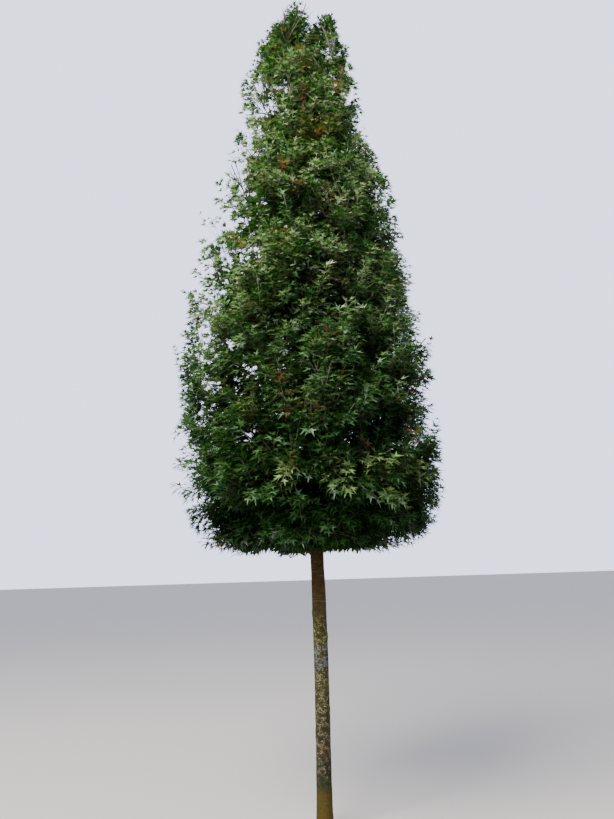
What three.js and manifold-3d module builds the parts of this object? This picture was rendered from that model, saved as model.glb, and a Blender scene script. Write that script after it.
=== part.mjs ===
// A young upright crabapple tree: one straight stem, rising boughs and a dense cone of three-lobed leaves.
// Millimetres, +Z up. The origin is the centre of the flat cut under the stem, at ground level.
import * as THREE from "three";
import { mergeVertices } from "three/addons/utils/BufferGeometryUtils.js";
import Module from "manifold-3d";

const wasm = await Module();
wasm.setup();

// Driving dimensions of the whole tree
const TREE_HEIGHT = 6130;
const CROWN_FOOT = 1700;
const CROWN_RADIUS = 880;
const STEM_RADIUS = 49; // of the straight stem, without the flare at its foot
const STEM_TOP = 5620; // where the leading shoot takes over
const GROWING_GAP = 0.3; // between a limb and what grows on from it

// Every seeded choice comes from this one rule, so any twig can be made again on its own.
const SEED = 0.37;

function chance(...keys) {
  let value = SEED;
  for (const key of keys) {
    const wave = Math.sin(value * 12.9898 + key * 78.233 + 3.7) * 43758.5453;
    value = wave - Math.floor(wave);
  }
  return value;
}

const between = (low, high, share) => low + (high - low) * share;
const degrees = (angle) => (angle * Math.PI) / 180;
const GOLDEN_ANGLE = degrees(137.508);
const UP = new THREE.Vector3(0, 0, 1);

// Stem: a slow double bend, a taper to the leading shoot, and a flare with low ribs where the roots begin
const BEND = { east: 13, north: 10, eastPitch: 4300, northPitch: 5200 };
const TAPER = { fullHeight: 6400, power: 2.1 }; // hardly any below the crown
const FLARE = { width: 15, height: 95, ribs: 5, ribDepth: 0.34 };

function stemCentre(z) {
  return new THREE.Vector3(
    BEND.east * Math.sin((2 * Math.PI * z) / BEND.eastPitch),
    BEND.north * Math.sin((2 * Math.PI * z) / BEND.northPitch),
    z,
  );
}

function stemRadius(z, around = 0) {
  const shaft = STEM_RADIUS * (1 - (z / TAPER.fullHeight) ** TAPER.power);
  const rib = 1 + FLARE.ribDepth * Math.cos(FLARE.ribs * around);
  return shaft + FLARE.width * Math.exp(-z / FLARE.height) * rib;
}

// Crown outline: how far foliage reaches from the stem's line at a height and compass angle
const OUTLINE = { fullness: 1.18, footShare: 0.12, footReach: 0.56 };
const WAIST = { share: 0.13, height: 4850, length: 350 }; // where the crown draws in below its top
const OPEN_SIDE = { share: 0.05, towards: degrees(200) }; // fuller on the side away from its neighbours

const heightShare = (z) => (z - CROWN_FOOT) / (TREE_HEIGHT - CROWN_FOOT);

function crownReach(z, around) {
  const rise = heightShare(z);
  if (rise <= 0 || rise >= 1) return 0;
  const cone = Math.min(1, OUTLINE.fullness * Math.sqrt(1 - rise));
  const low = Math.min(1, rise / OUTLINE.footShare);
  const foot = between(OUTLINE.footReach, 1, Math.sqrt(low * (2 - low)));
  const side = 1 + OPEN_SIDE.share * Math.cos(around - OPEN_SIDE.towards);
  const waist = 1 - WAIST.share * Math.exp(-(((z - WAIST.height) / WAIST.length) ** 2));
  return CROWN_RADIUS * cone * foot * side * waist;
}

// Limbs: one path from the stem out to the crown's outline. Its inner part is a bare bough, and the rest is
// the stem of that bough's own mass of foliage. The last limb is the leading shoot, which tops the stem.
const BOUGHS = 21;
const LOWEST_FOOT = 1850;
const HIGHEST_FOOT = 5340;
const FOOT_CROWDING = 1.3; // boughs stand closer low down
const CLIMB_AT_FOOT = [degrees(14), degrees(58)]; // above level, for the lowest and highest bough
const CLIMB_AT_TIP = [degrees(42), degrees(74)];
const BARE_SHARE = 0.36; // of a limb's path
const PATH_STEPS = 8;

function limbPath(k) {
  const share = k / (BOUGHS - 1);
  const foot = between(LOWEST_FOOT, HIGHEST_FOOT, share ** FOOT_CROWDING);
  const around = k * GOLDEN_ANGLE + between(-0.22, 0.22, chance(k, 1));
  const vigour = between(0.93, 1.07, chance(k, 2));
  const slopeStart = Math.tan(between(...CLIMB_AT_FOOT, share));
  const slopeEnd = Math.tan(between(...CLIMB_AT_TIP, share));
  const swing = between(-0.2, 0.2, chance(k, 3));
  let reach = crownReach(foot, around);
  for (let round = 0; round < 30; round++) {
    const tipHeight = foot + (reach * (slopeStart + slopeEnd)) / 2;
    reach = between(reach, crownReach(tipHeight, around) * vigour, 0.3);
  }
  const root = stemCentre(foot);
  const points = [];
  for (let i = 0; i <= PATH_STEPS; i++) {
    const s = i / PATH_STEPS;
    const out = reach * s;
    const angle = around + swing * s * s;
    const climb = reach * (slopeStart * s + ((slopeEnd - slopeStart) * s * s) / 2);
    points.push(new THREE.Vector3(Math.cos(angle) * out, Math.sin(angle) * out, climb).add(root));
  }
  return new THREE.CatmullRomCurve3(points);
}

const LEADER_SUNK = 4; // cut off again where the trunk ends

function leaderPath() {
  const foot = stemCentre(STEM_TOP - LEADER_SUNK);
  const sway = [0, 3, 16, 21, 13];
  const rise = (TREE_HEIGHT - foot.z) / (sway.length - 1);
  const points = sway.map((east, i) => foot.clone().add(new THREE.Vector3(-east, east / 2, rise * i)));
  return new THREE.CatmullRomCurve3(points);
}

const LEADER = BOUGHS;
const limbs = [];
for (let k = 0; k < BOUGHS; k++) limbs.push(limbPath(k));
limbs.push(leaderPath());

const isLeader = (k) => k === LEADER;
const bareShare = (k) => (isLeader(k) ? 0 : BARE_SHARE);

const BOUGH_FOOT_RADIUS = [15, 6]; // of the lowest and the highest bough
const LIMB_TIP_RADIUS = 3.6;

function limbRadius(k, s) {
  if (isLeader(k)) return between(stemRadius(STEM_TOP), LIMB_TIP_RADIUS, s);
  const foot = between(...BOUGH_FOOT_RADIUS, k / (BOUGHS - 1));
  const collar = 0.35 * foot * Math.exp(-s / 0.05);
  return between(foot, LIMB_TIP_RADIUS, s ** 0.8) + collar;
}

// A three.js solid as a manifold, and back
function toSolid(geometry) {
  geometry.deleteAttribute("normal");
  geometry.deleteAttribute("uv");
  const merged = mergeVertices(geometry, 1e-3);
  const triVerts = new Uint32Array(merged.index.array);
  return new wasm.Manifold(
    new wasm.Mesh({ numProp: 3, vertProperties: merged.attributes.position.array, triVerts }),
  );
}

function toGeometry(solid) {
  const mesh = solid.getMesh();
  const geometry = new THREE.BufferGeometry();
  geometry.setAttribute("position", new THREE.BufferAttribute(mesh.vertProperties, 3));
  geometry.setIndex(new THREE.BufferAttribute(mesh.triVerts, 1));
  return geometry;
}

// A cylinder of unit size bent along a line: centre(t) and radius(t, around) for t from 0 at its foot to 1
function bentCylinder(sides, rings, centre, direction, radius) {
  const geometry = new THREE.CylinderGeometry(1, 1, 1, sides, rings);
  const position = geometry.attributes.position;
  const side = new THREE.Vector3();
  const other = new THREE.Vector3();
  for (let i = 0; i < position.count; i++) {
    const t = Math.min(1, Math.max(0, position.getY(i) + 0.5));
    const along = direction(t).normalize();
    const seed = Math.abs(along.z) > 0.999 ? new THREE.Vector3(0, 1, 0) : UP;
    side.crossVectors(seed, along).normalize();
    other.crossVectors(side, along);
    const across = position.getX(i);
    const back = position.getZ(i);
    const share = Math.hypot(across, back);
    const size = share * radius(t, Math.atan2(back, across));
    const place = centre(t);
    if (share > 0) {
      place.addScaledVector(side, (size * across) / share);
      place.addScaledVector(other, (size * back) / share);
    }
    position.setXYZ(i, place.x, place.y, place.z);
  }
  return geometry;
}

// The trunk, or the same trunk grown by a gap, which cuts what stands against it
const TRUNK_SIDES = 20;
const TRUNK_LEVELS = [0, 20, 55, 110, 200, 330];
const TRUNK_STEP = 560;

function trunkGeometry(grown) {
  const levels = [...TRUNK_LEVELS];
  const last = levels[levels.length - 1];
  const steps = Math.round((STEM_TOP - last) / TRUNK_STEP);
  for (let i = 1; i <= steps; i++) levels.push(between(last, STEM_TOP, i / steps));
  const rings = levels.length - 1;
  const height = (t) => levels[Math.round(t * rings)] + (t > 0.999 ? grown : 0);
  return bentCylinder(
    TRUNK_SIDES,
    rings,
    (t) => stemCentre(height(t)),
    () => UP.clone(),
    (t, around) => stemRadius(height(t), around) + grown,
  );
}

const grownTrunk = toSolid(trunkGeometry(GROWING_GAP));

// A limb's stretch between two shares of its path
function limbGeometry(k, from, to, sides, rings, grown = 0) {
  const at = (t) => between(from, to, t);
  return bentCylinder(
    sides,
    rings,
    (t) => limbs[k].getPoint(at(t)),
    (t) => limbs[k].getTangent(at(t)),
    (t) => limbRadius(k, at(t)) + grown,
  );
}

// A bough, or the same bough grown by a gap all round and at its tip
const BOUGH_SIDES = 6;
const BOUGH_RINGS = 3;
const gapShare = (k) => (isLeader(k) ? 0 : GROWING_GAP / limbs[k].getLength());

function boughGeometry(k, grown = 0) {
  const end = BARE_SHARE + (grown > 0 ? gapShare(k) : 0);
  return limbGeometry(k, 0, end, BOUGH_SIDES, BOUGH_RINGS, grown);
}

let grownWood = grownTrunk;
for (let k = 0; k < BOUGHS; k++) grownWood = grownWood.add(toSolid(boughGeometry(k, GROWING_GAP)));

const largestPiece = (solid) => solid.decompose().sort((a, b) => b.volume() - a.volume())[0];

// Each mass keeps to its own space: inside the crown's outline, nearer to its own limb than to any other,
// within its own spread, and clear of the trunk and the boughs.
const SPREAD = [560, 400]; // how far foliage stands from its limb, low down and at the top
const LIMB_SAMPLES = 12;
const SPACE_GAP = 5; // between one mass and the next
const WOOD_GAP = 4; // between foliage and a limb that it doesn't grow on
const limbSamples = limbs.map((path) => path.getPoints(LIMB_SAMPLES));
const limbBounds = limbSamples.map((samples) => new THREE.Sphere().setFromPoints(samples));
const OWN_FROM = Math.round(LIMB_SAMPLES * 0.25); // the stretch near the trunk is common ground

const segment = new THREE.Line3();
const nearest = new THREE.Vector3();

function distanceToLimb(point, k) {
  const samples = limbSamples[k];
  let least = Infinity;
  for (let i = isLeader(k) ? 0 : OWN_FROM; i < LIMB_SAMPLES; i++) {
    segment.set(samples[i], samples[i + 1]).closestPointToPoint(point, true, nearest);
    least = Math.min(least, nearest.distanceTo(point));
  }
  return least;
}

function hitsWood(point) {
  const centre = stemCentre(point.z);
  const fromStem = Math.hypot(point.x - centre.x, point.y - centre.y);
  if (point.z < STEM_TOP + WOOD_GAP && fromStem < stemRadius(point.z) + WOOD_GAP) return true;
  return limbs.some((path, k) => {
    if (isLeader(k) || limbBounds[k].distanceToPoint(point) > 0) return false;
    const bareEnd = BARE_SHARE * LIMB_SAMPLES;
    for (let i = 0; i < bareEnd; i++) {
      segment.start.copy(limbSamples[k][i]);
      segment.end.copy(limbSamples[k][i]).lerp(limbSamples[k][i + 1], Math.min(1, bareEnd - i));
      segment.closestPointToPoint(point, true, nearest);
      if (nearest.distanceTo(point) < limbRadius(k, i / LIMB_SAMPLES) + WOOD_GAP) return true;
    }
    return false;
  });
}

function inOutline(point, k, share) {
  const centre = stemCentre(point.z);
  const around = Math.atan2(point.y - centre.y, point.x - centre.x);
  const out = Math.hypot(point.x - centre.x, point.y - centre.y);
  const lump = between(0.97, 1.06, chance(k, 4));
  return out < crownReach(point.z, around) * lump * share;
}

function inSpace(point, k, share = 1) {
  if (!inOutline(point, k, share)) return false;
  const own = distanceToLimb(point, k);
  if (own > between(...SPREAD, heightShare(point.z)) * share) return false;
  for (let other = 0; other < limbs.length; other++) {
    if (other === k || limbBounds[other].distanceToPoint(point) > own + SPACE_GAP) continue;
    if (distanceToLimb(point, other) < own + SPACE_GAP) return false;
  }
  return !hitsWood(point);
}

// A leaf of the model stands for a spray: three pointed lobes, from a flat double cone of six sides
const SPRAY_LENGTH = [240, 125]; // low down and at the top
const SPRAY_THICKNESS = 7;
const ROOT_DEPTH = 3; // how far its root is sunk past the twig's centre
// outline points from the root round to the tip and back: across and along, as shares of the length
const LOBES = [
  [0, 0],
  [0.42, 0.44],
  [0.17, 0.56],
  [0, 1],
  [-0.17, 0.56],
  [-0.42, 0.44],
];
const BLADE_HEART = 0.36;

function sprayGeometry(root, direction, face, length) {
  const profile = [new THREE.Vector2(0, -1), new THREE.Vector2(1, 0), new THREE.Vector2(0, 1)];
  const geometry = new THREE.LatheGeometry(profile, LOBES.length);
  const position = geometry.attributes.position;
  const across = new THREE.Vector3().crossVectors(direction, face).normalize();
  const normal = new THREE.Vector3().crossVectors(across, direction).normalize();
  for (let i = 0; i < position.count; i++) {
    const rim = Math.hypot(position.getX(i), position.getZ(i));
    const turn = Math.atan2(position.getX(i), position.getZ(i)) / (2 * Math.PI);
    const index = Math.round((turn < 0 ? turn + 1 : turn) * LOBES.length) % LOBES.length;
    const [sideways, onward] = rim > 0.5 ? LOBES[index] : [0, BLADE_HEART];
    const lift = rim > 0.5 ? 0 : (position.getY(i) * SPRAY_THICKNESS) / 2;
    const place = root
      .clone()
      .addScaledVector(direction, onward * length - ROOT_DEPTH)
      .addScaledVector(across, sideways * length)
      .addScaledVector(normal, lift);
    position.setXYZ(i, place.x, place.y, place.z);
  }
  return geometry;
}

// Points that must lie in the mass's space for a spray to grow: its lobes and halfway between them
function sprayProbes(root, direction, face, length) {
  const across = new THREE.Vector3().crossVectors(direction, face).normalize();
  const rim = LOBES.map(([sideways, onward]) =>
    root
      .clone()
      .addScaledVector(direction, onward * length - ROOT_DEPTH)
      .addScaledVector(across, sideways * length),
  );
  const probes = [];
  for (let i = 1; i < rim.length; i++) {
    probes.push(rim[i]);
    probes.push(rim[i].clone().lerp(rim[(i + 1) % rim.length], 0.5));
    probes.push(rim[i].clone().lerp(root, 0.5));
  }
  return probes;
}

// Twigs leave the mass's stem at golden-angle turns, lean a little upwards, and stop where their space ends.
const TWIGS = 7;
const TWIG_ANGLE = [degrees(66), degrees(36)]; // away from the stem, at its foot and at its tip
const TWIG_LIFT = 0.22;
const TWIG_RADIUS = [8, 6.5];
const TWIG_SIDES = 3;
const SHORTEST_TWIG = 60;

function twigStart(k, j) {
  const s = between(bareShare(k) + 0.03, 0.96, (j + 0.5) / TWIGS);
  const foot = limbs[k].getPoint(s);
  const along = limbs[k].getTangent(s);
  const side = new THREE.Vector3().crossVectors(along, UP);
  if (side.length() < 0.05) side.set(1, 0, 0);
  side.normalize();
  const turn = j * GOLDEN_ANGLE + 2 * Math.PI * chance(k, 5);
  side.applyAxisAngle(along, turn);
  const open = between(...TWIG_ANGLE, (j + 0.5) / TWIGS);
  const direction = along.clone().multiplyScalar(Math.cos(open)).addScaledVector(side, Math.sin(open));
  direction.addScaledVector(UP, TWIG_LIFT).normalize();
  return { foot, direction };
}

function twigLength(k, j) {
  const { foot, direction } = twigStart(k, j);
  const longest = between(...SPREAD, heightShare(foot.z)) * between(0.72, 0.95, chance(k, j, 6));
  const STEP = 15;
  let length = 0;
  while (length < longest) {
    const probe = foot.clone().addScaledVector(direction, length + STEP);
    if (!inSpace(probe, k, 0.95)) break;
    length += STEP;
  }
  return length;
}

function twigGeometry(foot, direction, length) {
  return bentCylinder(
    TWIG_SIDES,
    1,
    (t) => foot.clone().addScaledVector(direction, length * t),
    () => direction.clone(),
    (t) => between(...TWIG_RADIUS, t),
  );
}

// Sprays on a twig: one at its tip and others along it, each turned a golden angle from the last
const SPRAYS_ON_TWIG = 3;
const TIP_SPRAY = { along: 0.97, angle: degrees(9) };
const SIDE_SPRAYS = { from: 0.95, to: 0.25, angle: [degrees(45), degrees(75)] };
const SPRAY_PULL = 0.35; // outwards, away from the trunk
const SPRAY_TRIES = 8; // each turned further round and smaller than the last
const TRY_TURN = degrees(74);
const SMALLEST_TRY = 0.7;

function outwardsAt(point) {
  const centre = stemCentre(point.z);
  return new THREE.Vector3(point.x - centre.x, point.y - centre.y, 0).normalize();
}

function spraysOfTwig(k, j, foot, direction, length, taken) {
  const sprays = [];
  const usual = between(...SPRAY_LENGTH, heightShare(foot.z));
  for (let m = 0; m < SPRAYS_ON_TWIG; m++) {
    const sideShare = between(SIDE_SPRAYS.from, SIDE_SPRAYS.to, m / (SPRAYS_ON_TWIG - 1));
    const root = foot.clone().addScaledVector(direction, length * (m === 0 ? TIP_SPRAY.along : sideShare));
    for (let attempt = 0; attempt < SPRAY_TRIES; attempt++) {
      const side = new THREE.Vector3().crossVectors(direction, UP).normalize();
      const turn = m * GOLDEN_ANGLE + attempt * TRY_TURN + 2 * Math.PI * chance(k, j, m, 7);
      side.applyAxisAngle(direction, turn);
      const sideAngle = between(...SIDE_SPRAYS.angle, chance(k, j, m, attempt, 8));
      const open = m === 0 ? TIP_SPRAY.angle : sideAngle;
      const out = direction.clone().multiplyScalar(Math.cos(open)).addScaledVector(side, Math.sin(open));
      const outwards = outwardsAt(root);
      out.addScaledVector(outwards, SPRAY_PULL).normalize();
      const face = UP.clone().multiplyScalar(0.8).add(outwards).addScaledVector(side, 0.5).normalize();
      if (Math.abs(face.dot(out)) > 0.9) face.copy(UP);
      const tried = between(1, SMALLEST_TRY, attempt / SPRAY_TRIES);
      const size = usual * tried * between(0.9, 1.08, chance(k, j, m, 9));
      if (!sprayProbes(root, out, face, size).every((probe) => inSpace(probe, k))) continue;
      const spray = toSolid(sprayGeometry(root, out, face, size));
      if (taken.some((solid) => !solid.intersect(spray).isEmpty())) continue;
      taken.push(spray);
      sprays.push(spray);
      break;
    }
  }
  return sprays;
}

// The dense heart of a mass: a knobbly lump that fills a share of its space and that the twigs stand out of
const CORE_CENTRE = 0.56; // along the limb's path
const CORE_SHARE = 0.78;
const CORE_LONGEST = 520;
const CORE_DETAIL = 1;
const CORE_KNOBS = { depth: 0.2, pitch: 3.4 };

function coreKnob(direction, k) {
  const { depth, pitch } = CORE_KNOBS;
  const wave = (along, shift) => Math.sin(pitch * along + 6.28 * chance(k, shift));
  return 1 - depth * Math.abs(wave(direction.x, 11) * wave(direction.y, 12) + wave(direction.z, 13));
}

const coreCentre = (k) => limbs[k].getPoint(isLeader(k) ? 0.5 : between(bareShare(k), 1, CORE_CENTRE));

function coreReach(k, centre, direction) {
  const STEP = 10;
  let length = 0;
  while (length < CORE_LONGEST / CORE_SHARE) {
    const probe = centre.clone().addScaledVector(direction, length + STEP);
    if (!inSpace(probe, k, 0.9)) break;
    length += STEP;
  }
  return Math.max(length * CORE_SHARE * coreKnob(direction, k), limbRadius(k, 0.5) * 2);
}

function coreGeometry(k) {
  const centre = coreCentre(k);
  const geometry = new THREE.IcosahedronGeometry(1, CORE_DETAIL);
  const position = geometry.attributes.position;
  for (let i = 0; i < position.count; i++) {
    const direction = new THREE.Vector3().fromBufferAttribute(position, i).normalize();
    const place = centre.clone().addScaledVector(direction, coreReach(k, centre, direction));
    position.setXYZ(i, place.x, place.y, place.z);
  }
  return geometry;
}

// Sprays that stand straight out of the core, spread over it by golden-angle turns
const CORE_SPRAYS = 23;
const CORE_SPRAY_DEPTH = 24; // of the root under the core's surface
const CORE_SPRAY_BAND = [0.92, -0.75]; // heights on a unit ball, from its top down

function spraysOfCore(k) {
  const centre = coreCentre(k);
  const sprays = [];
  for (let n = 0; n < CORE_SPRAYS; n++) {
    const height = between(...CORE_SPRAY_BAND, (n + 0.5) / CORE_SPRAYS);
    const turn = n * GOLDEN_ANGLE + 2 * Math.PI * chance(k, 14);
    const flat = Math.sqrt(1 - height * height);
    const direction = new THREE.Vector3(flat * Math.cos(turn), flat * Math.sin(turn), height);
    const depth = coreReach(k, centre, direction) - CORE_SPRAY_DEPTH;
    const root = centre.clone().addScaledVector(direction, depth);
    const outwards = outwardsAt(root);
    const out = direction.clone().addScaledVector(UP, 0.3).addScaledVector(outwards, 0.3).normalize();
    const face = UP.clone().addScaledVector(outwards, 0.6).addScaledVector(direction, 0.4).normalize();
    const size = between(...SPRAY_LENGTH, heightShare(root.z)) * between(0.85, 1.05, chance(k, n, 15));
    if (!sprayProbes(root, out, face, size).every((probe) => inSpace(probe, k))) continue;
    const spray = toSolid(sprayGeometry(root, out, face, size));
    if (sprays.every((solid) => solid.intersect(spray).isEmpty())) sprays.push(spray);
  }
  return sprays;
}

// A mass: its stem from 0.3 mm past the bough's tip, its core, its twigs and its sprays, fused to one solid
const MASS_STEM_SIDES = 5;
const MASS_STEM_RINGS = 2;
const MASS_STEM_END = 0.985; // along the limb's path
const SMALLEST_EDGE = 0.1;

function massSolid(k) {
  const stemFoot = bareShare(k) + gapShare(k);
  let solid = toSolid(limbGeometry(k, stemFoot, MASS_STEM_END, MASS_STEM_SIDES, MASS_STEM_RINGS));
  const core = toSolid(coreGeometry(k));
  solid = solid.add(core);
  const coreSprays = spraysOfCore(k);
  for (const spray of coreSprays) solid = solid.add(spray);
  const taken = [core, ...coreSprays]; // a twig's sprays keep clear of these and of each other
  for (let j = 0; j < TWIGS; j++) {
    const length = twigLength(k, j);
    if (length < SHORTEST_TWIG) continue;
    const { foot, direction } = twigStart(k, j);
    solid = solid.add(toSolid(twigGeometry(foot, direction, length)));
    for (const spray of spraysOfTwig(k, j, foot, direction, length, taken)) solid = solid.add(spray);
  }
  return largestPiece(solid.subtract(grownWood).simplify(SMALLEST_EDGE));
}

// Finishes
const bark = new THREE.MeshStandardMaterial({ color: 0x6b6353, roughness: 0.9, metalness: 0 });
const boughBark = new THREE.MeshStandardMaterial({ color: 0x5d5446, roughness: 0.85, metalness: 0 });
const foliage = new THREE.MeshStandardMaterial({ color: 0x3c5a26, roughness: 0.55, metalness: 0 });

function named(name, geometry, material) {
  const mesh = new THREE.Mesh(geometry, material);
  mesh.name = name;
  return mesh;
}

const tree = new THREE.Group();
tree.name = "crabapple_tree";

tree.add(named("trunk", trunkGeometry(0), bark));

const twoDigits = (k) => String(k + 1).padStart(2, "0");
for (let k = 0; k < BOUGHS; k++) {
  const seated = largestPiece(toSolid(boughGeometry(k)).subtract(grownTrunk));
  tree.add(named(`bough_${twoDigits(k)}`, toGeometry(seated), boughBark));
}

for (let k = 0; k < BOUGHS; k++) {
  tree.add(named(`foliage_${twoDigits(k)}`, toGeometry(massSolid(k)), foliage));
}
tree.add(named("foliage_leader", toGeometry(massSolid(LEADER)), foliage));

export default tree;
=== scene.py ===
import math

import bpy
import numpy as np
from mathutils import Euler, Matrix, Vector, noise
from mathutils.kdtree import KDTree


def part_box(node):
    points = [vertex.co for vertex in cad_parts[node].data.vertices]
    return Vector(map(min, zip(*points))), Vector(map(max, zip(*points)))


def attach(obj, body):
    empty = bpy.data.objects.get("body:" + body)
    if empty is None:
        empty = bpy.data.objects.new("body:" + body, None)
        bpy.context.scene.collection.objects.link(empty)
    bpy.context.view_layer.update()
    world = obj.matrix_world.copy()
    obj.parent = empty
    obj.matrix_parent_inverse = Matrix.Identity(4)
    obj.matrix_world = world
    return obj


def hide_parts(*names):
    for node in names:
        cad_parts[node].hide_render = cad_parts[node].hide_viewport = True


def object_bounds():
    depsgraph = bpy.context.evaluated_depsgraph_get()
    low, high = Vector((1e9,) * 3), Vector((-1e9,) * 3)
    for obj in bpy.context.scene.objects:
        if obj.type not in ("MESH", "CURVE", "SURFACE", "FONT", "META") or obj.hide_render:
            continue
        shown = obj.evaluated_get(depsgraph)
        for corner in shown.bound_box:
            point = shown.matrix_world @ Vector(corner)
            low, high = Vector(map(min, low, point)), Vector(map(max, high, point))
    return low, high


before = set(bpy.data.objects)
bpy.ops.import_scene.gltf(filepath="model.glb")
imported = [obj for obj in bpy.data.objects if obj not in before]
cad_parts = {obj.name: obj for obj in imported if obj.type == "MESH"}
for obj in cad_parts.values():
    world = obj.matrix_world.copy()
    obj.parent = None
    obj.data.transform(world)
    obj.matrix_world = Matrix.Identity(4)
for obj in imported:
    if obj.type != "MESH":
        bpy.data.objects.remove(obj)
cad_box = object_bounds()

# Trunk.
# One straight stem of living wood, cut flat at the ground, with low ribs at its foot and the leading shoot
# on its top. Its bark has cracked into small plates, with a pale and worn net of cork between them.
STEM_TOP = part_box("trunk")[1].z
STEM_RADIUS = 0.049
STEM_TAPER = (6.4, 2.1)  # the height where it would run out, and the power that it thins by
FLARE = (0.015, 0.095, 5, 0.34)  # width, height, ribs, and how deep they are
BEND_EAST = (0.013, 4.3)  # how far, and over what height
BEND_NORTH = (0.010, 5.2)

TRUNK_SIDES = 64
CLEAR_STEM = 1.9  # below the crown, where the bark shows
RING_STEP = (0.009, 0.07)  # on the clear stem and inside the crown
PLATE_SIZE = (0.013, 0.026)  # around and along
CRACK = (0.0011, 4)  # depth, and how much narrower than a plate
SWELLING = (0.0022, 0.07)  # height and length of the slow uneven swellings
BRANCH_SCARS = 9
SCAR_HEIGHTS = (0.42, 1.78)  # that they stand between
SCAR_TURNS = (0.9, 2.4)  # where the first one faces, and the turn from each to the next
SCAR_SIZE = 0.02
SCAR_LENGTHENING = 0.8
SCAR_RIM = (0.004, 0.8, 9)  # height, place out from the middle, and sharpness
SCAR_HOLLOW = (0.002, 0.5)  # depth and width


def between(low, high, share):
    return low + (high - low) * share


def stem_centre(z):
    east, east_pitch = BEND_EAST
    north, north_pitch = BEND_NORTH
    z = np.asarray(z, float)
    x = east * np.sin(2 * np.pi * z / east_pitch)
    return np.stack([x, north * np.sin(2 * np.pi * z / north_pitch), z], -1)


def stem_radius(z, around=0.0):
    full_height, power = STEM_TAPER
    width, height, ribs, depth = FLARE
    z = np.asarray(z, float)
    shaft = STEM_RADIUS * (1 - (z / full_height) ** power)
    return shaft + width * np.exp(-z / height) * (1 + depth * np.cos(ribs * around))


def unit(vectors):
    return vectors / np.maximum(np.linalg.norm(vectors, axis=-1, keepdims=True), 1e-12)


def round_axis(turns, distances, heights):
    """Points at such turns round the upright axis, distances from it and heights."""
    return np.stack([np.cos(turns) * distances, np.sin(turns) * distances, heights + 0 * turns], -1)


def made_of(name, points, faces):
    """A mesh object from an array of points and an array of faces with the same number of corners."""
    mesh = bpy.data.meshes.new(name)
    mesh.vertices.add(len(points))
    mesh.vertices.foreach_set("co", np.asarray(points, np.float32).ravel())
    mesh.loops.add(faces.size)
    mesh.loops.foreach_set("vertex_index", np.asarray(faces, np.int32).ravel())
    mesh.polygons.add(len(faces))
    mesh.polygons.foreach_set("loop_start", np.arange(0, faces.size, faces.shape[1], dtype=np.int32))
    mesh.update(calc_edges=True)
    piece = bpy.data.objects.new(name, mesh)
    bpy.context.scene.collection.objects.link(piece)
    return piece


def tube_faces(count, rings, sides):
    """The walls and end caps of closed tubes, whose points come tube by tube and ring by ring."""
    tube, ring, corner = np.indices((count, rings - 1, sides))
    start = (tube * rings + ring) * sides
    a, b = start + corner, start + (corner + 1) % sides
    walls = np.stack([a, b, b + sides], -1), np.stack([a, b + sides, a + sides], -1)
    fan = np.arange(1, sides - 1)
    first = (np.arange(count) * rings * sides)[:, None]
    last = first + (rings - 1) * sides
    foot_caps = np.stack([first + 0 * fan, first + fan + 1, first + fan], -1)
    tip_caps = np.stack([last + 0 * fan, last + fan, last + fan + 1], -1)
    return np.concatenate([part.reshape(-1, 3) for part in (*walls, foot_caps, tip_caps)])


def smooth(piece):
    piece.data.polygons.foreach_set("use_smooth", [True] * len(piece.data.polygons))


def bark_relief(points, stretch):
    """How far bark stands out at each point: slow swellings, less the cracks between its plates."""
    height, length = SWELLING
    depth, narrowness = CRACK
    around, up = PLATE_SIZE
    relief = []
    for x, y, z in points:
        near, far = noise.voronoi((x / around, y / around, z / up / stretch))[0][:2]
        crack = max(0.0, 1 - (far - near) * narrowness)
        swell = noise.noise((x / length, y / length, z / length / 2))
        relief.append(height * swell - depth * crack)
    return np.array(relief)


def scar_relief(turns, heights):
    """The rims and hollows where low branches were cut off, as the crown was raised."""
    rim, rim_place, sharpness = SCAR_RIM
    hollow, hollow_width = SCAR_HOLLOW
    first_turn, next_turn = SCAR_TURNS
    relief = np.zeros((len(heights), len(turns)))
    for scar in range(BRANCH_SCARS):
        off_height = heights[:, None] - between(*SCAR_HEIGHTS, scar / BRANCH_SCARS)
        off_turn = np.angle(np.exp(1j * (turns - next_turn * scar - first_turn)))
        off = np.hypot(off_turn * STEM_RADIUS, off_height * SCAR_LENGTHENING) / SCAR_SIZE
        raised = rim * np.exp(-((off - rim_place) ** 2) * sharpness)
        relief += raised - hollow * np.exp(-((off / hollow_width) ** 2))
    return relief


clear_rings = np.arange(0, CLEAR_STEM, RING_STEP[0])
crown_rings = np.linspace(CLEAR_STEM, STEM_TOP, round((STEM_TOP - CLEAR_STEM) / RING_STEP[1]))
trunk_heights = np.concatenate([clear_rings, crown_rings])
trunk_turns = 2 * np.pi * np.arange(TRUNK_SIDES) / TRUNK_SIDES
trunk_centres = stem_centre(trunk_heights)[:, None]
trunk_radii = stem_radius(trunk_heights[:, None], trunk_turns)
facing = round_axis(trunk_turns, 1, 0)
skin = trunk_centres + trunk_radii[..., None] * facing
relief = bark_relief(skin.reshape(-1, 3), 1.0).reshape(trunk_radii.shape)
relief += scar_relief(trunk_turns, trunk_heights)
relief[0] = np.minimum(relief[0], 0)  # nothing swells out round the flat cut
trunk_points = trunk_centres + (trunk_radii + relief)[..., None] * facing
trunk = made_of("trunk_wood", trunk_points.reshape(-1, 3), tube_faces(1, len(trunk_heights), TRUNK_SIDES))
smooth(trunk)


def shader(name, roughness, specular):
    material = bpy.data.materials.new(name)
    material.use_nodes = True
    surface = material.node_tree.nodes["Principled BSDF"]
    surface.inputs["Roughness"].default_value = roughness
    surface.inputs["Specular IOR Level"].default_value = specular
    return material, material.node_tree, surface


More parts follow.
